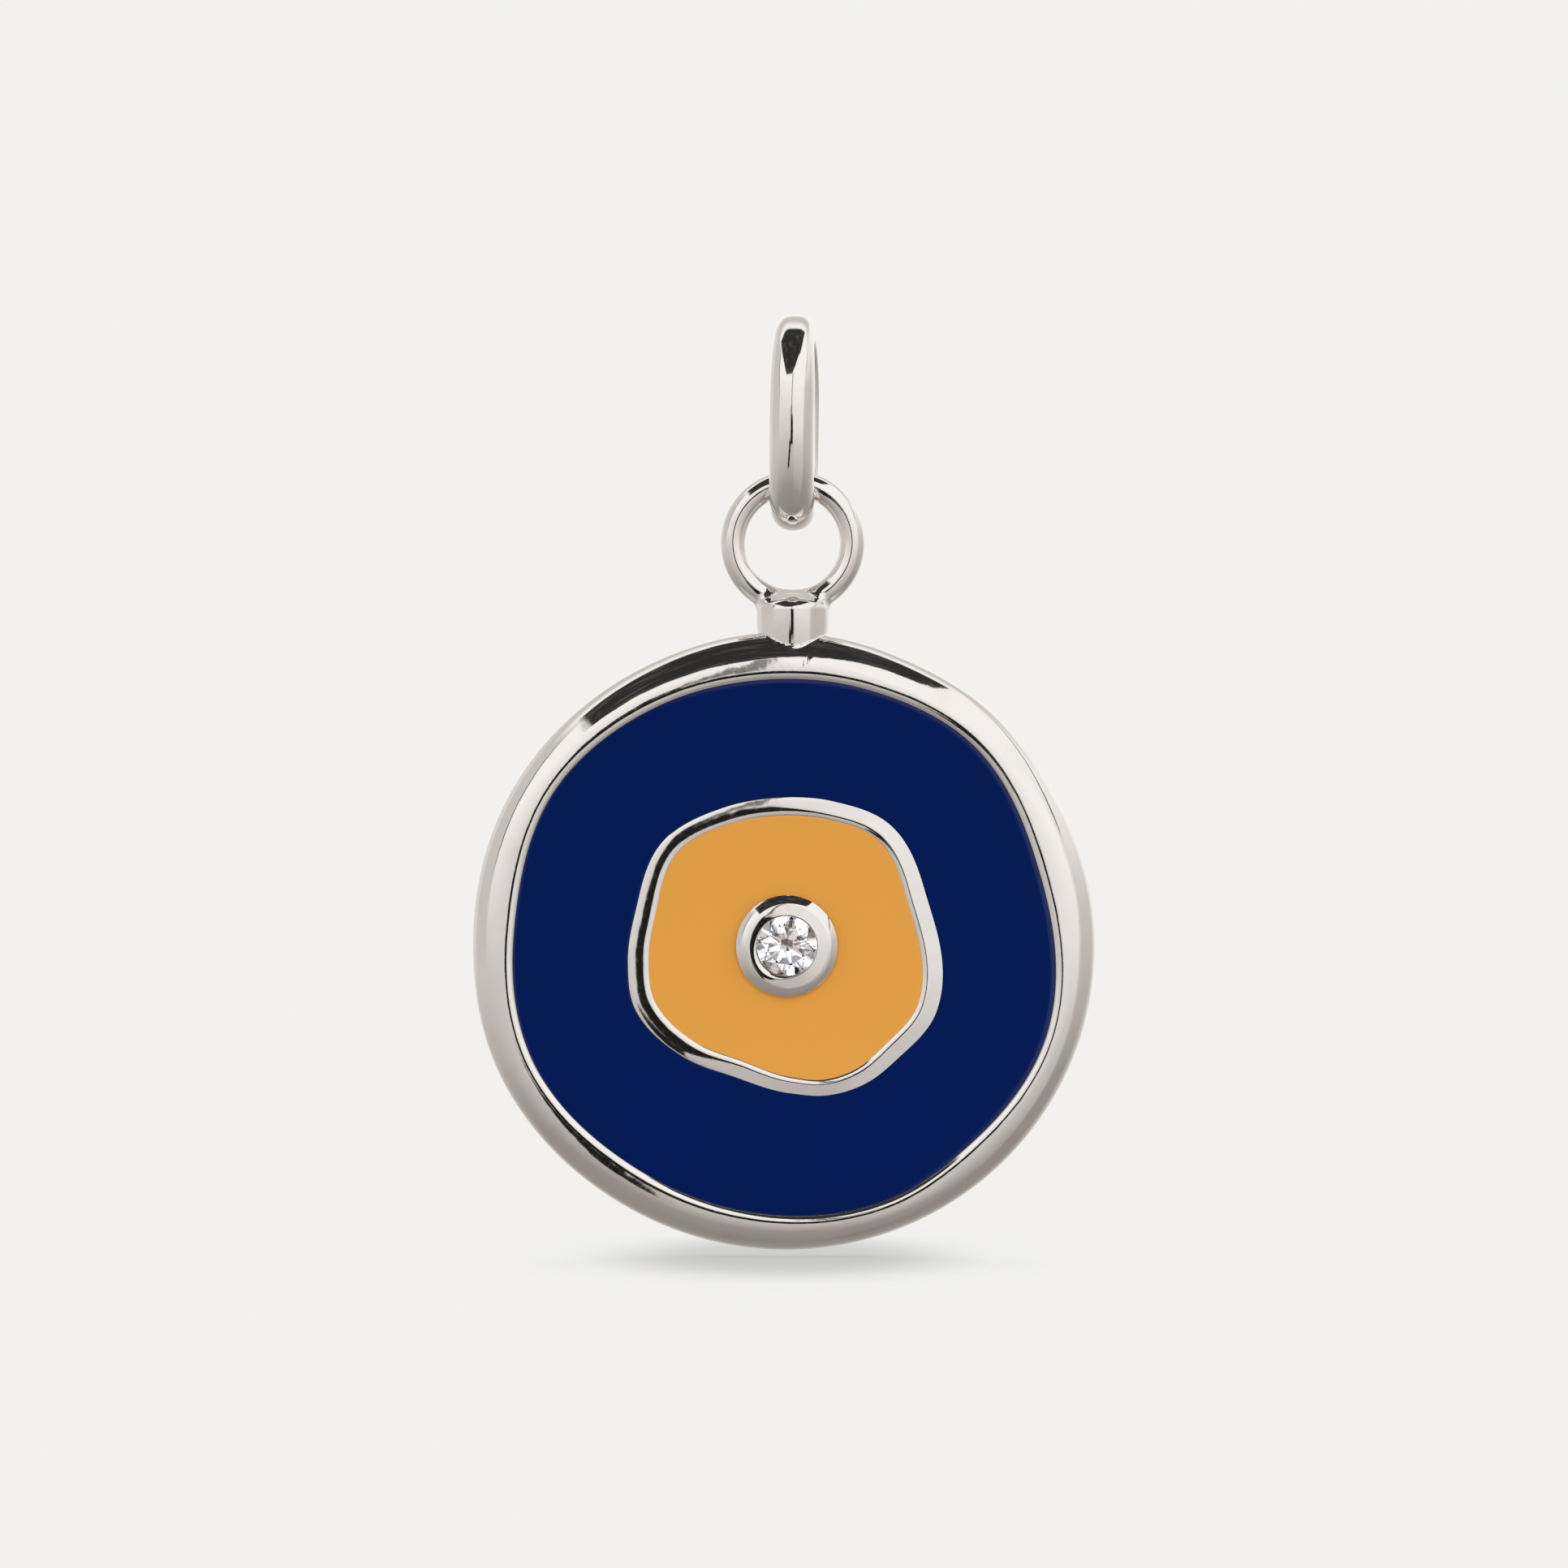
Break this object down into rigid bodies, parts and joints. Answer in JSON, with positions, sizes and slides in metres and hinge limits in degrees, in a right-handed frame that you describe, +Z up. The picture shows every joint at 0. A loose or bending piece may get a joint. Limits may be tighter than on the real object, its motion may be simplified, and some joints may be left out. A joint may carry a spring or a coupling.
{
  "type": "evil eye pendant",
  "caption": "Round enamelled pendant with a wavy metal-walled iris round a bezel-set stone, hung by a soldered ring from a closed oval bail that slides on a chain.",
  "frame": {"origin": "top of the bail's inner surface, where the chain lies in it", "axes": "+Z up, against the hang; -Y is the enamelled front; +X to the right seen from the front, along the chain"},
  "size_m": [0.0181, 0.004, 0.0272],
  "materials": {
    "plated_silver": "bright rhodium-plated silver, polished",
    "navy_enamel": "opaque navy enamel, flat and glossy",
    "amber_enamel": "opaque amber enamel, flat and glossy",
    "clear_stone": "colourless round brilliant, polished facets"
  },
  "bodies": {
    "bail": {"bail": "plated_silver"},
    "drop": {"pendant_frame": "plated_silver", "navy_enamel": "navy_enamel", "amber_enamel": "amber_enamel", "centre_stone": "clear_stone"}
  },
  "joints": [
    {"name": "pendant_swing", "type": "hinge", "parent": "bail", "child": "drop", "pos_m": [-0.00008, 0, -0.00403], "axis": [1, 0, 0], "range_deg": [-120, 120]}
  ]
}
